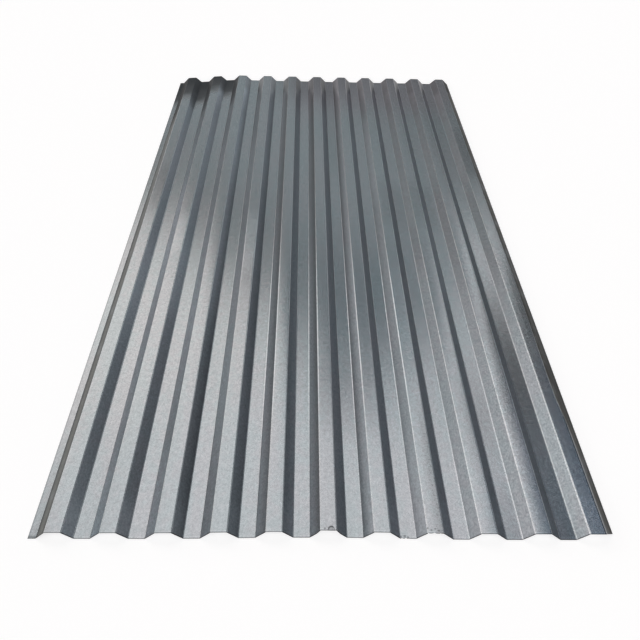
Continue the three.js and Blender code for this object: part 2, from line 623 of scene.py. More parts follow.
def paint_web_light(coat):
    # Painted light and shade on the webs, area by area.
    for area in PAINTED_LIGHT_AREAS:
        across = coat.window(coat.x, area.x, area.half_width, area.edge)
        along = coat.ramp(coat.y, area.start, area.whole)
        coat.retone(coat.times(across, along, coat.faces[area.faces]), area.tone)
    # A slanting band of painted sheen on the left-facing webs.
    beside = coat.minus(coat.x, SHEEN_BAND_PLACE[0])
    band = coat.times(
        coat.window(beside, 0.0, SHEEN_BAND_HALF_WIDTH, SHEEN_BAND_WIDTH_EDGE),
        coat.window(coat.minus(coat.y, coat.times(beside, SHEEN_BAND_SLANT)), SHEEN_BAND_PLACE[1],
                    SHEEN_BAND_HALF_LENGTH, SHEEN_BAND_LENGTH_EDGE),
    )
    coat.retone(coat.times(band, coat.left_facing), SHEEN_BAND_TONE)
    # Painted shading up the height of some webs.
    shade_grading = 0.0
    for faces, changes in SHADE_GRADES.items():
        for rib, change in changes.items():
            on_rib = coat.window(coat.x, first_crest + (rib - 1) * PITCH, RIB_HALF_WIDTH, RIB_EDGE)
            shade_grading = coat.times_plus(coat.times(coat.faces[faces], on_rib), change, shade_grading)
    height = coat.ramp(coat.z, 0.0, crest_level, -1.0, 1.0)
    coat.tone = coat.times(coat.tone, coat.times_plus(shade_grading, height, 1.0))
    # Painted glints on the fold lines.
    glint_lines = coat.math("MAXIMUM", *(
        coat.window(coat.from_crest, -fold, PAINTED_GLINT_HALF_WIDTH, PAINTED_GLINT_HALF_WIDTH)
        for fold in (CREST_WIDTH / 2, CREST_WIDTH / 2 + WEB_RUN)
    ))
    coat.retone(coat.times(
        glint_lines,
        coat.window(coat.x, PAINTED_GLINTS_PLACE[0], PAINTED_GLINTS_HALF_WIDTH, PAINTED_GLINTS_WIDTH_EDGE),
        coat.window(coat.y, PAINTED_GLINTS_PLACE[1], PAINTED_GLINTS_HALF_LENGTH, PAINTED_GLINTS_LENGTH_EDGE),
    ), PAINTED_GLINT_TONE)


# Soft patches of painted light and shade, brighter or darker: their middle, their half width and half
# length, and their tone.
Patch = namedtuple("Patch", "x y half_width half_length tone")
PAINTED_LIGHT_PATCHES = {
    "flats": (
        Patch(-0.493, 0.17, 0.016, 0.13, 0.82),
        Patch(-0.493, -0.98, 0.016, 0.15, 1.07),
        Patch(-0.393, -0.08, 0.016, 0.09, 1.20),
        Patch(-0.193, -0.11, 0.016, 0.13, 1.28),
        Patch(0.057, -0.70, 0.075, 0.10, 0.91),
        Patch(0.057, 0.62, 0.020, 0.30, 0.88),
        Patch(0.207, -0.40, 0.016, 0.15, 1.16),
        Patch(0.282, 0.10, 0.085, 0.12, 0.87),
        Patch(0.357, -1.03, 0.016, 0.10, 0.87),
        Patch(0.407, -0.72, 0.018, 0.16, 1.15),
        Patch(0.507, 0.42, 0.016, 0.16, 0.80),
        Patch(0.516, -0.36, 0.010, 0.14, 0.80),
        Patch(0.5225, -0.94, 0.003, 0.26, 0.42),
        Patch(0.507, -1.03, 0.016, 0.08, 1.18),
    ),
    "left-facing": (
        Patch(-0.370, -0.98, 0.080, 0.12, 1.25),
        Patch(-0.518, 0.50, 0.016, 0.20, 0.83),
        Patch(-0.418, -0.66, 0.020, 0.14, 1.15),
        Patch(-0.418, -0.04, 0.020, 0.22, 1.22),
        Patch(-0.418, 0.50, 0.020, 0.20, 1.12),
        Patch(-0.318, -0.02, 0.020, 0.25, 0.90),
        Patch(-0.218, -0.20, 0.020, 0.35, 0.88),
        Patch(-0.118, -0.25, 0.020, 0.75, 0.86),
        Patch(-0.170, 1.00, 0.075, 0.07, 0.76),
        Patch(0.182, -0.97, 0.020, 0.12, 1.11),
        Patch(0.182, 0.40, 0.020, 0.25, 1.22),
        Patch(0.282, -0.12, 0.020, 0.10, 0.86),
        Patch(0.482, -0.80, 0.020, 0.28, 1.15),
        Patch(0.430, -0.03, 0.085, 0.25, 0.84),
        Patch(0.250, 0.84, 0.200, 0.12, 0.92),
        Patch(0.300, 1.01, 0.270, 0.07, 1.15),
        Patch(-0.018, 0.00, 0.012, 2.20, 0.76),  # all of the sixth rib's web
    ),
    "right-facing": (
        Patch(0.000, -1.05, 0.500, 0.07, 1.22),
        Patch(-0.430, -1.05, 0.080, 0.08, 1.12),
        Patch(-0.430, -0.28, 0.080, 0.15, 1.20),
        Patch(-0.468, -0.72, 0.020, 0.18, 0.85),
        Patch(-0.268, -0.75, 0.020, 0.35, 0.74),
        Patch(-0.268, -0.05, 0.020, 0.30, 0.84),
        Patch(-0.168, -0.15, 0.020, 0.35, 0.80),
        Patch(0.332, -0.13, 0.020, 0.24, 1.36),
        Patch(0.032, -1.03, 0.020, 0.08, 0.84),
        Patch(0.432, -0.42, 0.020, 0.20, 0.84),
        Patch(0.432, 0.50, 0.020, 0.32, 0.82),
        Patch(-0.018, 0.93, 0.075, 0.18, 0.78),
        Patch(-0.318, 0.93, 0.075, 0.15, 1.22),
        Patch(-0.168, 1.00, 0.020, 0.07, 1.35),
        Patch(0.200, 1.01, 0.270, 0.07, 0.62),
        Patch(0.532, 0.60, 0.020, 0.90, 1.62),
        Patch(0.532, 0.88, 0.020, 0.16, 1.18),
        Patch(0.532, -0.95, 0.020, 0.30, 0.36),
    ),
}


def paint_light_patches(coat):
    # Painted light and shade, patch by patch.
    for faces, patches in PAINTED_LIGHT_PATCHES.items():
        tone_shift = 1.0
        for patch in patches:
            inside = coat.times(
                coat.window(coat.x, patch.x, patch.half_width, patch.half_width / 4),
                coat.window(coat.y, patch.y, patch.half_length, patch.half_length),
            )
            tone_shift = coat.retoned(tone_shift, inside, patch.tone)
        coat.retone(coat.faces[faces], tone_shift)


# The ends. At the far one the webs carry painted shade, most of all those that face right from the
# middle on. The flats of the middle ribs are darker at the far end too, and at the near one the flats
# are darker on the left and lighter on the right.
FAR_WEB_SHADE_REACH = 0.15
FAR_WEB_SHADE_TONE = 0.62
FAR_RIGHT_WEB_SHADE_TONE = 0.73
FAR_RIGHT_FROM = -0.25
FAR_RIGHT_WHOLLY_FROM = -0.08
FAR_MIDDLE_HALF_WIDTH = 0.12
FAR_MIDDLE_EDGE = 0.20
FAR_MIDDLE_REACH = 0.30
FAR_MIDDLE_TONE = 0.75
NEAR_FLATS_REACH = 0.35
NEAR_LEFT_TONE = 0.89
NEAR_RIGHT_TONE = 1.12
NEAR_LEFT_TO = -0.15
NEAR_RIGHT_FROM = 0.45


def tone_ends(coat):
    # Painted shade on the webs at the far end, more on the right-facing ones of the right part.
    far_web_shade = coat.at_far_end(FAR_WEB_SHADE_REACH, 0.6)
    coat.retone(coat.times(coat.web, far_web_shade), FAR_WEB_SHADE_TONE)
    right_part = coat.ramp(coat.x, FAR_RIGHT_FROM, FAR_RIGHT_WHOLLY_FROM)
    coat.retone(coat.times(far_web_shade, right_part, coat.right_facing), FAR_RIGHT_WEB_SHADE_TONE)
    far_middle = coat.times(coat.at_far_end(FAR_MIDDLE_REACH, 0.2),
                            coat.window(coat.x, 0.0, FAR_MIDDLE_HALF_WIDTH, FAR_MIDDLE_EDGE))
    coat.retone(coat.times(far_middle, coat.flats), FAR_MIDDLE_TONE)
    near_tone = coat.ramp(coat.x, NEAR_LEFT_TO, NEAR_RIGHT_FROM, NEAR_LEFT_TONE, NEAR_RIGHT_TONE)
    coat.retone(coat.times(coat.flats, coat.at_near_end(NEAR_FLATS_REACH, 0.2)), near_tone)


# Darkening on the two outer webs, partly dirt that gives them their olive tint and partly painted shade,
# deepest in a line of painted shade along each border; painted shade in the last valley; and a darker rim
# along the outer edge of the lap flange. The right web is lighter at the near end, where this stops short
# of the crest.
RIGHT_GRIME_AND_SHADE = (0.068, 0.067, 0.062, 1)
RIGHT_WEB_NEAR_TONE = 3.70
RIGHT_WEB_LIGHT_TO = 0.20
RIGHT_WEB_DARK_FROM = 0.40
RIGHT_BORDER_SHIFT = 0.0045  # how far from the fold its border lies, on the web and on the crest
RIGHT_BORDER_PLACES = (0.20, 0.36, 0.80)  # where it leaves the web, is on the crest, on the fold
RIGHT_BORDER_EDGE = 0.003
LEFT_GRIME_AND_SHADE = (0.116, 0.117, 0.106, 1)
LEFT_WEB_FAR_TONE = 0.55
LEFT_WEB_DARKENS = (-1.0, 0.9)  # from where to where along the sheet it darkens to that
GRIME_AND_SHADE_METALLIC = -0.8  # what the right web's grime and painted shade add to the coat's
GRIME_AND_SHADE_ROUGHNESS = 0.4
LOW_LINE_HEIGHT = 0.0055
HIGH_LINE_HEIGHT = 0.0145
LINE_EDGE = 0.004
SHADE_LINE_TONE = 0.45
HIGH_LINE_FROM = 0.45  # on the right web, from the near cut
HIGH_LINE_WHOLLY_FROM = 0.65
GRIME_AND_SHADE_PATCH = 0.05
THINNEST_GRIME_AND_SHADE = 0.7
GRIME_AND_SHADE_THICKENS = (0.2, 0.55)  # the levels of its noise between which it goes from that to one
SHADED_VALLEY_HALF_WIDTH = 0.016
SHADED_VALLEY_EDGE = 0.006
SHADED_VALLEY_TONE = 0.68
SHADED_VALLEY_REACH = 0.95
RIM = 0.0025
RIM_EDGE = 0.002
RIM_TONE = 0.78


def lay_grime_and_shade(coat):
    """Puts on the grime and painted shade, and gives back how much of it lies on the right web, for the
    finish.
    """
    on_web, on_crest, on_fold = RIGHT_BORDER_PLACES
    border = coat.plus(
        coat.ramp(coat.from_near, on_web, on_crest,
                  last_fold + RIGHT_BORDER_SHIFT, last_fold - RIGHT_BORDER_SHIFT),
        coat.ramp(coat.from_near, on_crest, on_fold, 0.0, RIGHT_BORDER_SHIFT),
    )
    outer_right = coat.past(coat.minus(coat.x, border), 0.0, RIGHT_BORDER_EDGE)
    first_fold = LAP_FLANGE + WEB_RUN
    outer_left = coat.times(coat.ramp(coat.from_edge, first_fold, first_fold - WEB_BORDER), coat.web)
    # Lines of painted shade along the lower and upper borders of the outer webs.
    low_shade_line = coat.within(coat.z, LOW_LINE_HEIGHT, LINE_EDGE)
    high_shade_line_reach = coat.ramp(coat.from_near, HIGH_LINE_FROM, HIGH_LINE_WHOLLY_FROM)
    high_shade_line = coat.times(coat.past(coat.z, HIGH_LINE_HEIGHT, LINE_EDGE),
                           coat.math("MAXIMUM", high_shade_line_reach, outer_left))
    outer_webs = coat.math("MAXIMUM", outer_left, outer_right)
    coat.retone(coat.times(coat.plus(low_shade_line, high_shade_line), outer_webs), SHADE_LINE_TONE)
    lighter_near = coat.ramp(coat.from_near, RIGHT_WEB_LIGHT_TO, RIGHT_WEB_DARK_FROM, 1.0, 0.0)
    coat.retone(coat.times(outer_right, lighter_near), RIGHT_WEB_NEAR_TONE)
    coat.retone(coat.times(outer_left, coat.ramp(coat.y, *LEFT_WEB_DARKENS)), LEFT_WEB_FAR_TONE)
    # Painted shade in the last valley, towards the near end.
    last_valley = coat.window(coat.x, last_fold - CREST_WIDTH / 2 - PITCH / 2, SHADED_VALLEY_HALF_WIDTH,
                              SHADED_VALLEY_EDGE)
    shaded_part = coat.at_near_end(SHADED_VALLEY_REACH, 0.4)
    coat.retone(coat.times(last_valley, coat.flats, shaded_part), SHADED_VALLEY_TONE)
    coat.retone(coat.within(coat.from_edge, RIM, RIM_EDGE), RIM_TONE)
    patchy = coat.ramp(coat.noise(GRIME_AND_SHADE_PATCH), *GRIME_AND_SHADE_THICKENS, THINNEST_GRIME_AND_SHADE, 1.0)
    # Grime colour with painted shade on the outer webs.
    right_grime_and_shade = coat.times(outer_right, patchy)
    coat.recolour(coat.times(outer_left, patchy), LEFT_GRIME_AND_SHADE)
    coat.recolour(right_grime_and_shade, RIGHT_GRIME_AND_SHADE)
    return right_grime_and_shade


# A dark patch in the far left corner. It ends in a straight line on its right, and fades towards the
# near end along a ragged front, which lies further on or back on some faces.
DARK_PATCH = (0.034, 0.039, 0.044, 1)
DARK_PATCH_METALLIC = -0.45  # what the dark patch adds to the coat's
DARK_PATCH_ROUGHNESS = 0.25
DARK_PATCH_RIGHT = -0.3071
DARK_PATCH_EDGE = 0.002
DARK_PATCH_RIGHT_RAGGED = 0.004
DARK_PATCH_RIGHT_RAGGED_SIZE = 0.05
DARK_PATCH_FRONT = 0.783
DARK_PATCH_SLANT = 0.72
DARK_PATCH_RAGGED = 0.08
DARK_PATCH_RAGGED_SIZE = 0.07
DARK_PATCH_FADE = 0.115
DARK_PATCH_LOW_LEAD = 0.05  # in the valleys
DARK_PATCH_LEFT_WEB_LEAD = 0.155
DARK_PATCH_LEFT_WEB_SPREAD = 0.55
DARK_PATCH_FIRST_WEB_LEAD = 0.038  # on the first web that faces right, and on the others it lags
DARK_PATCH_RIGHT_WEB_LAG = 0.035
DARK_PATCH_LAGS_FROM = 0.099  # from the left edge
DARK_PATCH_WHOLLY_LAGS_FROM = 0.139
DARK_PATCH_RIGHT_WEB_SHARE = 0.88
DARK_PATCH_FLANGE_LAG = 0.04
DARK_PATCH_THINNED = 0.13  # at its front, and not at all this far in
DARK_PATCH_THINNED_FROM = 0.02
DARK_PATCH_THINNED_REACH = 0.20


def lay_dark_patch(coat):
    """Puts on the dark patch, and gives back how much of it lies at a point, for the finish."""
    ragged = coat.minus(0.5, coat.noise(DARK_PATCH_RAGGED_SIZE, detail=3.0))
    front = coat.times_plus(ragged, DARK_PATCH_RAGGED, coat.times_plus(coat.from_edge, DARK_PATCH_SLANT, DARK_PATCH_FRONT))
    front = coat.minus(front, coat.ramp(coat.z, 0.0, crest_level, DARK_PATCH_LOW_LEAD, 0.0))
    front = coat.times_plus(coat.left_facing, -DARK_PATCH_LEFT_WEB_LEAD, front)
    right_web_lag = coat.ramp(coat.from_edge, DARK_PATCH_LAGS_FROM, DARK_PATCH_WHOLLY_LAGS_FROM,
                              -DARK_PATCH_FIRST_WEB_LEAD, DARK_PATCH_RIGHT_WEB_LAG)
    front = coat.times_plus(coat.right_facing, right_web_lag, front)
    flange_lag = coat.ramp(coat.from_edge, LAP_FLANGE, LAP_FLANGE + DARK_PATCH_EDGE, DARK_PATCH_FLANGE_LAG, 0.0)
    past_front = coat.minus(coat.y, coat.plus(front, flange_lag))
    past_front = coat.retoned(past_front, coat.left_facing, DARK_PATCH_LEFT_WEB_SPREAD)
    side = coat.times_plus(coat.noise(DARK_PATCH_RIGHT_RAGGED_SIZE), DARK_PATCH_RIGHT_RAGGED,
                           DARK_PATCH_RIGHT - DARK_PATCH_RIGHT_RAGGED / 2)
    thinned = coat.ramp(past_front, DARK_PATCH_THINNED_FROM, DARK_PATCH_THINNED_REACH, DARK_PATCH_THINNED, 0.0)
    dark_patch = coat.times(
        coat.ramp(past_front, -DARK_PATCH_FADE / 3, DARK_PATCH_FADE * 2 / 3),
        coat.within(coat.minus(coat.x, side), 0.0, DARK_PATCH_EDGE * 2),
        coat.minus(1.0, thinned),
    )
    dark_patch = coat.retoned(dark_patch, coat.right_facing, DARK_PATCH_RIGHT_WEB_SHARE)
    coat.recolour(dark_patch, DARK_PATCH)
    return dark_patch


# Painted shade along the near cut: a ragged dark line darkens the last of the coat at the near end, most
# on the webs and furthest in at the lap flange, with a pale line behind it on the flats. The far cut has a
# thin dark line.
EDGE_SHADE = 0.0019
EDGE_SHADE_TONE = 0.55
WEB_EDGE_SHADE_TONE = 0.30
EDGE_SHADE_RAGGED = 0.0012
EDGE_SHADE_RAGGED_SIZE = 0.004
FLANGE_EDGE_SHADE = 2.8
FLANGE_EDGE_SHADE_EDGE = 0.006
PALE_LINE = 0.0026
PALE_LINE_EDGE = 0.0006
PALE_LINE_TONE = 1.10
FAR_LINE = 0.002
FAR_LINE_END = 0.005
FAR_LINE_TONE = 0.6


def shade_cut_ends(coat):
    ragged = coat.times_plus(coat.noise(EDGE_SHADE_RAGGED_SIZE), EDGE_SHADE_RAGGED, -EDGE_SHADE_RAGGED / 2)
    flange_widening = coat.ramp(coat.from_edge, LAP_FLANGE, LAP_FLANGE + FLANGE_EDGE_SHADE_EDGE, FLANGE_EDGE_SHADE, 1.0)
    edge_shade_reach = coat.over(coat.plus(coat.from_near, ragged), flange_widening)
    # Painted shade: a ragged dark line along the near cut, darker on the webs and wider at the lap flange.
    edge_shade = coat.within(edge_shade_reach, EDGE_SHADE, EDGE_SHADE * 0.6)
    coat.retone(edge_shade, coat.ramp(coat.web, 0.0, 1.0, EDGE_SHADE_TONE, WEB_EDGE_SHADE_TONE))
    tone_shift = coat.window(coat.from_near, EDGE_SHADE + PALE_LINE / 2, PALE_LINE / 2, PALE_LINE_EDGE)
    coat.retone(coat.times(tone_shift, coat.flats), PALE_LINE_TONE)
    coat.retone(coat.ramp(coat.from_far, FAR_LINE, FAR_LINE_END, 1.0, 0.0), FAR_LINE_TONE)


# The eighth crest is scuffed and specked behind its end. The sixth has the print of a knock on its end,
# with painted shade inside the dent and along its rim, and further in there is a pinhole in the coat.
SPECK = 0.004
SPECKED_FROM = 0.55  # of the noise that spreads the specks
WHOLLY_SPECKED_FROM = 0.68
SPECK_CONTRAST = 0.3
SCUFF_EDGE = 0.004
SCUFF_FROM = -0.010  # it starts left of the crest's middle, and is whole at its right fold
SCUFF_WHOLE = 0.014
SCUFF_REACH = 0.38
SCUFF_TONE = 0.74
PINHOLE_PLACE = (-0.0433, 0.2364, 0)
PINHOLE_RADIUS = 0.0015
PINHOLE_EDGE = 0.001
PINHOLE_TONE = 0.25
KNOCK_PLACE = 0.0123
KNOCK_HALF_WIDTH = 0.0062
KNOCK_REACH = 0.0092
KNOCK_DEPTH = 0.0004
KNOCK_SHADE_TONE = 0.72
KNOCK_EDGE = 0.2
KNOCK_RIM = 0.11
KNOCK_RIM_EDGE = 0.12
KNOCK_RIM_SHADE_TONE = 0.6

# Small dings just behind the near end: their place, how far in they lie, and how wide they are.
DING_TONE = 0.55
Ding = namedtuple("Ding", "x from_end radius")
DINGS = (
    Ding(0.0000, 0.0040, 0.0021),
    Ding(0.0072, 0.0050, 0.0018),
    Ding(0.1437, 0.0040, 0.0022),
    Ding(0.1507, 0.0050, 0.0028),
    Ding(0.1568, 0.0030, 0.0020),
    Ding(0.1919, 0.0110, 0.0016),
    Ding(0.1989, 0.0070, 0.0020),
    Ding(0.2065, 0.0100, 0.0015),
    Ding(0.2130, 0.0060, 0.0022),
)


def scuff_and_knock(coat):
    from_eighth = coat.minus(coat.x, first_crest + 7 * PITCH)
    scuffed = coat.times(
        coat.window(from_eighth, 0.0, CREST_WIDTH / 2, SCUFF_EDGE),
        coat.ramp(from_eighth, SCUFF_FROM, SCUFF_WHOLE),
        coat.at_near_end(SCUFF_REACH, 0.5),
    )
    specks = coat.ramp(coat.noise(SPECK), SPECKED_FROM, WHOLLY_SPECKED_FROM, 0.0, SPECK_CONTRAST)
    coat.retone(scuffed, coat.minus(SCUFF_TONE, specks))
    from_pinhole = distance(coat, coat.combine(X=coat.x, Y=coat.y), PINHOLE_PLACE)
    coat.retone(coat.within(from_pinhole, PINHOLE_RADIUS, PINHOLE_EDGE), PINHOLE_TONE)
    knock_rings = distance(coat, coat.combine(
        X=coat.over(coat.minus(coat.x, KNOCK_PLACE), KNOCK_HALF_WIDTH),
        Y=coat.over(coat.from_near, KNOCK_REACH),
    ), (0, 0, 0))
    # Painted shade along the rim of the knock's dent and inside it.
    coat.retone(coat.window(knock_rings, 1.0, KNOCK_RIM, KNOCK_RIM_EDGE), KNOCK_RIM_SHADE_TONE)
    coat.retone(coat.within(knock_rings, 1.0, KNOCK_EDGE), KNOCK_SHADE_TONE)
    beside_end = coat.combine(X=coat.x, Y=coat.from_near)
    for ding in DINGS:
        away = distance(coat, beside_end, (ding.x, ding.from_end, 0))
        coat.retone(coat.within(away, ding.radius, ding.radius), DING_TONE)


def zinc_coat(grain_group):
    material = bpy.data.materials.new("zinc_coat")
    material.use_nodes = True
    shader = material.node_tree.nodes["Principled BSDF"]
    coat = Coat(material.node_tree)
    grain_height, clouds = freeze_and_roll(coat, grain_group)
    tint(coat)
    paint_web_light(coat)
    paint_light_patches(coat)
    tone_ends(coat)
    right_grime_and_shade = lay_grime_and_shade(coat)
    dark_patch = lay_dark_patch(coat)
    shade_cut_ends(coat)
    scuff_and_knock(coat)
    coat.feed(shader.inputs["Base Color"], toned(coat, coat.colour, coat.tone))
    metallic = coat.times_plus(right_grime_and_shade, GRIME_AND_SHADE_METALLIC, ZINC_METALLIC)
    coat.feed(shader.inputs["Metallic"], coat.times_plus(dark_patch, DARK_PATCH_METALLIC, metallic))
    roughness = coat.times_plus(clouds, CLOUD_ROUGHNESS, ZINC_ROUGHNESS - CLOUD_ROUGHNESS / 2)
    roughness = coat.times_plus(coat.web, WEB_ROUGHNESS - ZINC_ROUGHNESS, roughness)
    roughness = coat.times_plus(right_grime_and_shade, GRIME_AND_SHADE_ROUGHNESS, roughness)
    coat.feed(shader.inputs["Roughness"], coat.times_plus(dark_patch, DARK_PATCH_ROUGHNESS, roughness))
    bump = coat.node("ShaderNodeBump", {"Height": grain_height, "Strength": 1.0, "Distance": BUMP_HEIGHT})
    coat.feed(shader.inputs["Normal"], bump.outputs[0])
    return material


# The sheared ends show bare steel: dull, scored by the blade, with the first freckles of rust.
BARE_STEEL = (0.20, 0.20, 0.205, 1)
BARE_METALLIC = 0.8
BARE_ROUGHNESS = 0.45
RUST = (0.17, 0.085, 0.04, 1)
RUST_METALLIC = 0.1
RUST_ROUGHNESS = 0.8
FRECKLE = 0.006
RUSTY_FROM = 0.52  # of the noise that spreads the freckles
WHOLLY_RUSTY_FROM = 0.66
SCORE = 0.0006
SCORE_CONTRAST = 0.5
SCORE_HEIGHT = 0.00002


def cut_edge(grain_group):
    material = bpy.data.materials.new("sheared_steel")
    material.use_nodes = True
    steel = NodeTree(material.node_tree)
    shader = material.node_tree.nodes["Principled BSDF"]
    position = steel.node("ShaderNodeTexCoord").outputs["Object"]
    scores = steel.node("ShaderNodeGroup", node_tree=grain_group)
    for name, value in {"Place": position, "Crystal": SCORE, "Contrast": SCORE_CONTRAST}.items():
        steel.feed(scores.inputs[name], value)
    freckles = steel.node("ShaderNodeTexNoise", {"Vector": position, "Scale": 1 / FRECKLE, "Detail": 3.0})
    rusty = steel.ramp(freckles.outputs[0], RUSTY_FROM, WHOLLY_RUSTY_FROM)
    colour = blend(steel, BARE_STEEL, RUST, rusty)
    steel.feed(shader.inputs["Base Color"], toned(steel, colour, scores.outputs["Tone"]))
    steel.feed(shader.inputs["Metallic"], steel.ramp(rusty, 0.0, 1.0, BARE_METALLIC, RUST_METALLIC))
    steel.feed(shader.inputs["Roughness"], steel.ramp(rusty, 0.0, 1.0, BARE_ROUGHNESS, RUST_ROUGHNESS))
    bump = steel.node("ShaderNodeBump", {
        "Height": scores.outputs["Height"],
        "Strength": 1.0,
        "Distance": SCORE_HEIGHT,
    })
    steel.feed(shader.inputs["Normal"], bump.outputs[0])
    return material


grain_group = zinc_grain_group()
rolling_tree = rolled_sheet_tree()
holder = bpy.data.objects.new("sheet_rolling", rib_section())
scene.collection.objects.link(holder)
rolling = holder.modifiers.new("rolling", "NODES")
rolling.node_group = rolling_tree.tree
rolling[rolling_tree.inputs["Coat"]] = zinc_coat(grain_group)
rolling[rolling_tree.inputs["Cut Edge"]] = cut_edge(grain_group)
depsgraph = bpy.context.evaluated_depsgraph_get()
rolled = bpy.data.meshes.new_from_object(holder.evaluated_get(depsgraph))
bpy.data.objects.remove(holder)
rolled.name = "rolled_sheet"

# Damage at the near end: the outer web's lower corner is snipped off, the sixth crest is knocked
# in, and the eighth crest and the seventh valley are nicked.
SNIP = 0.013
SNIP_REACH = 0.06
Nick = namedtuple("Nick", "x half_width depth")
NICKS = (
    Nick(0.1452, 0.003, 0.0012),
    Nick(0.1527, 0.0025, 0.0022),
    Nick(0.1583, 0.002, 0.0008),
    Nick(0.1929, 0.0018, 0.0012),
    Nick(0.2040, 0.0045, 0.0015),
    Nick(0.2155, 0.002, 0.0010),
)
KNOCK_FADE = (1.1, 0.35)  # where the dent of the knock ends, and over what width it fades
REFINED_REACH = 0.022
REFINED_STRIPS = ((0.0003, 0.0213), (0.135, 0.166), (0.187, 0.221))  # cut finer for these marks
REFINING_CUTS = 4
SHARP_ANGLE = 40


def near_strip(mesh, left, right):
    """The edges of the faces that lie within a strip of the near end."""
    found = set()
    for face in mesh.faces:
        centre = face.calc_center_median()
        if left < centre.x < right and centre.y < near_end + REFINED_REACH:
            found.update(face.edges)
    return list(found)


def as_rolled(across, along):
    """Where a point lay across the sheet before the ribs sprang."""
    share = smooth_step((along - SPRUNG_FROM) / (SPRUNG_WHOLLY_FROM - SPRUNG_FROM))
    past_whole = smooth_step((along - SPRUNG_WHOLLY_FROM) / (SPRUNG_LESS_TO - SPRUNG_WHOLLY_FROM))
    share *= 1 - (1 - SPRUNG_LESS) * past_whole
    half_turn = math.pi * across / (right_edge - left_edge)
    return across + math.sin(2 * half_turn) * (SPRUNG * share + SPRUNG_LEFT * math.sin(half_turn))


def cut_line(across):
    """The same near cut as in near_cut."""
    bow = window(across, NEAR_BOW_PLACE, NEAR_BOW_HALF_WIDTH, NEAR_BOW_EDGE)
    set_back = window(across, sixth_crest, SET_BACK_HALF_WIDTH, SET_BACK_EDGE)
    return near_end + NEAR_BOW * bow + SET_BACK * set_back


def window(value, middle, half_size, edge):
    return 1 - smooth_step((abs(value - middle) - half_size + edge / 2) / edge)


def smooth_step(value):
    value = min(max(value, 0.0), 1.0)
    return value * value * (3 - 2 * value)


# Some flats came off the rollers leaning to one side: the number of the crest or valley from the
# left, and the lean in degrees, which is above zero where its right border is the higher one.
CREST_LEANS = {2: 0.45, 4: 0.45, 5: 0.2, 8: -0.4, 11: -0.25}
VALLEY_LEANS = {2: -0.6, 3: -0.5, 4: 0.25, 6: -0.4, 7: -0.25, 8: -0.25, 9: 0.2, 10: -0.25}
leaning_flats = [(first_crest + (number - 1) * PITCH, CREST_WIDTH / 2, lean, -1)
                 for number, lean in CREST_LEANS.items()]
leaning_flats += [(first_crest + (number - 0.5) * PITCH, valley_width / 2, lean, 1)
                  for number, lean in VALLEY_LEANS.items()]


def leaned(across):
    """How far up a leaning flat moves a point; crests only go down by it and valleys up."""
    for place, half_width, lean, away in leaning_flats:
        slope = math.tan(math.radians(lean))
        beside = across - place
        if abs(beside) < half_width + WEB_RUN:
            fade = min(1.0, (half_width + WEB_RUN - abs(beside)) / WEB_RUN)
            held = max(-half_width, min(half_width, beside))
            yield fade * (slope * held + away * abs(slope) * half_width)


damaged = bmesh.new()
damaged.from_mesh(rolled)
for left, right in REFINED_STRIPS:
    bmesh.ops.subdivide_edges(damaged, edges=near_strip(damaged, left, right), cuts=REFINING_CUTS,
                              use_grid_fill=True)
for vertex in damaged.verts:
    across = as_rolled(vertex.co.x, vertex.co.y)
    vertex.co.z += sum(leaned(across))
    from_near = vertex.co.y - cut_line(across)
    if across > last_fold and from_near < SNIP_REACH:
        below = (crest_level - vertex.co.z) / (crest_level - floor_level)
        vertex.co.y += SNIP * below * (1 - from_near / SNIP_REACH)
    rings = math.hypot((across - KNOCK_PLACE) / KNOCK_HALF_WIDTH, from_near / KNOCK_REACH)
    vertex.co.z -= KNOCK_DEPTH * smooth_step((KNOCK_FADE[0] - rings) / KNOCK_FADE[1])
    for nick in NICKS:
        bite = max(0.0, 1 - abs(across - nick.x) / nick.half_width)
        fade = max(0.0, 1 - from_near / REFINED_REACH)
        vertex.co.y += nick.depth * bite * fade
damaged.to_mesh(rolled)
damaged.free()
rolled.set_sharp_from_angle(angle=math.radians(SHARP_ANGLE))
sheet_piece = bpy.data.objects.new("rolled_sheet", rolled)
scene.collection.objects.link(sheet_piece)
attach(sheet_piece, "root")
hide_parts("sheet")

# ---------------------------------------------------------------------------------------------
# Floor. A plain pale studio floor, swept far enough to fill the view. Its paint shows near white
# to the camera and in the metal, and still takes the sheet's shadow.
# ---------------------------------------------------------------------------------------------
FLOOR_REACH = 14.0
FLOOR_DROP = 0.0005
FLOOR_PAINT = (0.505, 0.495, 0.492, 1)
FLOOR_GLOW = 0.680
FLOOR_ROUGHNESS = 0.9
floor_corners = [(x * FLOOR_REACH, y * FLOOR_REACH, -FLOOR_DROP)
                 for x, y in ((-1, -1), (1, -1), (1, 1), (-1, 1))]
floor_mesh = bpy.data.meshes.new("floor")
floor_mesh.from_pydata(floor_corners, [], [(0, 1, 2, 3)])
floor = bpy.data.objects.new("floor", floor_mesh)
scene.collection.objects.link(floor)
floor_paint = bpy.data.materials.new("floor_paint")
floor_paint.use_nodes = True
paint = NodeTree(floor_paint.node_tree)
paint_shader = floor_paint.node_tree.nodes["Principled BSDF"]
paint_shader.inputs["Base Color"].default_value = FLOOR_PAINT
paint_shader.inputs["Roughness"].default_value = FLOOR_ROUGHNESS
paint_shader.inputs["Specular IOR Level"].default_value = 0.0
paint_shader.inputs["Emission Color"].default_value = (1, 1, 1, 1)
ray = paint.node("ShaderNodeLightPath").outputs
seen = paint.math("MAXIMUM", ray["Is Camera Ray"],
                  paint.math("MAXIMUM", ray["Is Glossy Ray"], ray["Is Transmission Ray"]))
paint.feed(paint_shader.inputs["Emission Strength"], paint.times(seen, FLOOR_GLOW))
floor_mesh.materials.append(floor_paint)

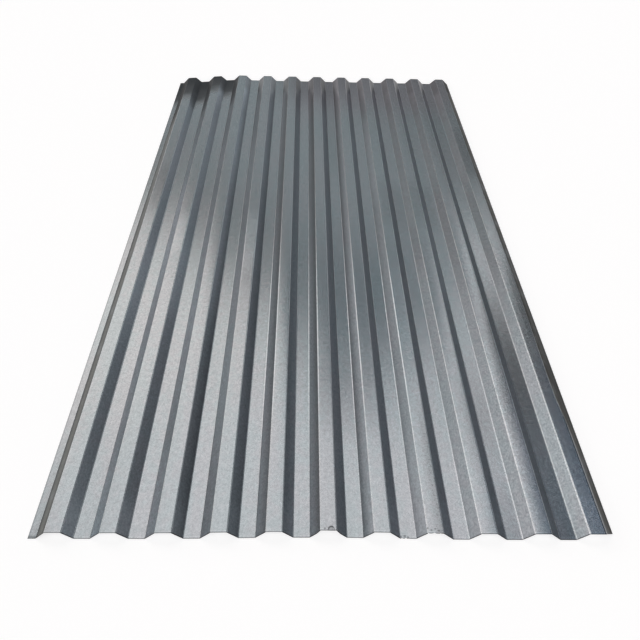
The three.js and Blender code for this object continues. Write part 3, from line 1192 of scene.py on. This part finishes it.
# ---------------------------------------------------------------------------------------------
# Light and camera. Soft boxes hang in front of the far end, where the flats of the sheet mirror
# them, with a dimmer wall behind the camera. A pale backdrop stands behind everything.
# ---------------------------------------------------------------------------------------------
# Turns are in degrees clockwise from the far end, and heights in degrees above level. A box leans
# by its slant, and its edges fade over the width of an edge.
SoftBox = namedtuple("SoftBox", "name turn half_turn turn_edge height half_height height_edge slant "
                                "strength tint")
COOL = (0.90, 1.0, 1.045)
PLAIN = (1.02, 1.0, 1.0)
WARM = (1.06, 1.0, 0.96)
NEUTRAL = (0.985, 1.0, 1.0)
ROSY = (1.033, 1.0, 1.0)
BLUE = (0.5, 1.0, 2.0)
SOFT_BOXES = (
    SoftBox("left", -34, 23, 3, 34, 13, 4, 1.2, 0.95, WARM),
    SoftBox("overhead", -3, 33.5, 3.2, 57, 9, 3, 0.3, 0.76, ROSY),
    SoftBox("overhead_left", -20, 26, 26, 57, 9, 3, 0.3, 0.16, PLAIN),
    SoftBox("right", 18.2, 2.0, 2.6, 38, 6.5, 4, 0.0, 1.08, PLAIN),
    SoftBox("right_upper", 16, 6, 5, 45.8, 2.3, 3, 0.0, 0.68, PLAIN),
    SoftBox("right_glow", 10, 4, 5, 40, 7, 6, 0.0, 0.035, PLAIN),
    SoftBox("left_low", -68, 27, 17, 19, 9.5, 14, -1.5, 1.1, PLAIN),
    SoftBox("left_middle", -50, 20, 10, 24, 4, 5, 0.0, 0.28, PLAIN),
    SoftBox("right_low", 27, 14, 8, 11.5, 9.5, 9, 0.3, 0.38, COOL),
    SoftBox("right_low_outer", 52, 13, 8, 11.5, 9.5, 9, 0.3, 0.27, COOL),
    SoftBox("right_low_end", 62, 5, 5, 19, 6, 6, 0.0, 0.6, WARM),
    SoftBox("right_middle", 44, 18, 14, 19.5, 6, 9, 0.5, 0.45, NEUTRAL),
    SoftBox("right_corner", 42, 15, 8, 47, 12, 8, 0.0, 0.04, BLUE),
    SoftBox("middle_low", -4.3, 11.5, 5, 24, 11.4, 3, 1.4, 0.27, COOL),
    SoftBox("far_right_low", 14, 8, 6, 20.5, 4.5, 4, 0.0, 0.08, COOL),
)
GAP = (0.40, 1.0, 1.32)  # the tint of the dim gap between the left and the right boxes
GAP_FROM = 33
GAP_WHOLLY_FROM = 39
GAP_LEFT = -9
FILL = 0.07  # the dim room on the left and in front
FILL_TURN = 16
FILL_EDGE = 4
OVERHEAD_FILL = 0.14  # and its ceiling
OVERHEAD_FROM = 46
OVERHEAD_EDGE = 8
REAR_TURN = 100  # the wall behind the camera, with a brighter band across it
REAR_EDGE = 40
REAR_FILL = 0.45
REAR_HEIGHT = 45
REAR_HALF_HEIGHT = 24
REAR_HEIGHT_EDGE = 24
REAR_STRENGTH = 0.95
BACKDROP_HEIGHT = 2.0  # degrees of the pale backdrop that the metal mirrors
BACKDROP_EDGE = 3.0

world = bpy.data.worlds.new("studio")
scene.world = world
world.use_nodes = True
sky = NodeTree(world.node_tree)
direction = sky.split(sky.node("ShaderNodeTexCoord").outputs["Generated"])
turn_angle = sky.math("DEGREES", sky.math("ARCTAN2", direction["X"], direction["Y"]))
height_angle = sky.math("DEGREES", sky.math("ARCSINE", direction["Z"]))
overhead = sky.ramp(height_angle, OVERHEAD_FROM, OVERHEAD_FROM + OVERHEAD_EDGE)
front = sky.ramp(turn_angle, FILL_TURN, FILL_TURN + FILL_EDGE, FILL, 0.0)
fill = sky.times_plus(overhead, sky.minus(OVERHEAD_FILL, front), front)
behind = sky.ramp(sky.math("ABSOLUTE", turn_angle), REAR_TURN, REAR_TURN + REAR_EDGE)
rear_box = sky.window(height_angle, REAR_HEIGHT, REAR_HALF_HEIGHT, REAR_HEIGHT_EDGE)
rear = sky.times(behind, sky.times_plus(rear_box, REAR_STRENGTH, REAR_FILL))
gap = sky.times(sky.ramp(height_angle, GAP_FROM, GAP_WHOLLY_FROM), sky.ramp(turn_angle, GAP_LEFT, 0.0),
                sky.minus(1.0, overhead))
light = toned(sky, blend(sky, (*COOL, 1), (*GAP, 1), gap), fill)


def lit(light, shape, glow):
    """The light with another added to it, of a colour and a shape."""
    added = sky.node("ShaderNodeVectorMath", {0: shape, 1: glow, 2: light}, operation="MULTIPLY_ADD")
    return added.outputs[0]


light = lit(light, rear, PLAIN)
for box in SOFT_BOXES:
    slanted = sky.times(sky.minus(height_angle, box.height), box.slant)
    shape = sky.times(sky.window(sky.minus(turn_angle, slanted), box.turn, box.half_turn, box.turn_edge),
                      sky.window(height_angle, box.height, box.half_height, box.height_edge))
    light = lit(light, shape, [box.strength * part for part in box.tint])
ray = sky.node("ShaderNodeLightPath").outputs
mirrored = sky.times(sky.math("MAXIMUM", ray["Is Glossy Ray"], ray["Is Transmission Ray"]),
                     sky.within(height_angle, BACKDROP_HEIGHT, BACKDROP_EDGE))
light = blend(sky, light, (1, 1, 1, 1), sky.math("MAXIMUM", ray["Is Camera Ray"], mirrored))
background = world.node_tree.nodes["Background"]
background.inputs["Strength"].default_value = 1.0
sky.feed(background.inputs["Color"], light)

FRAME_PIXELS = 640
FOCAL_PIXELS = 703.3
CAMERA_PLACE = Vector((-0.0490, -1.7611, 1.1571))
CAMERA_PITCH = 0.7167  # below level
CAMERA_YAW = 0.0368  # towards +X
CAMERA_ROLL = -0.0354
view_direction = Vector((math.sin(CAMERA_YAW) * math.cos(CAMERA_PITCH),
                         math.cos(CAMERA_YAW) * math.cos(CAMERA_PITCH),
                         -math.sin(CAMERA_PITCH)))
level_right = Vector((math.cos(CAMERA_YAW), -math.sin(CAMERA_YAW), 0))
image_down = view_direction.cross(level_right)
right = math.cos(CAMERA_ROLL) * level_right + math.sin(CAMERA_ROLL) * image_down
down = math.cos(CAMERA_ROLL) * image_down - math.sin(CAMERA_ROLL) * level_right
turn = Matrix((right, -down, -view_direction)).transposed()
camera_data = bpy.data.cameras.new("camera")
camera_data.sensor_fit = "HORIZONTAL"
camera_data.lens = camera_data.sensor_width * FOCAL_PIXELS / FRAME_PIXELS
camera_data.clip_end = 100
camera = bpy.data.objects.new("camera", camera_data)
camera.matrix_world = Matrix.Translation(CAMERA_PLACE) @ turn.to_4x4()
scene.collection.objects.link(camera)
scene.camera = camera
scene.view_settings.view_transform = "Standard"
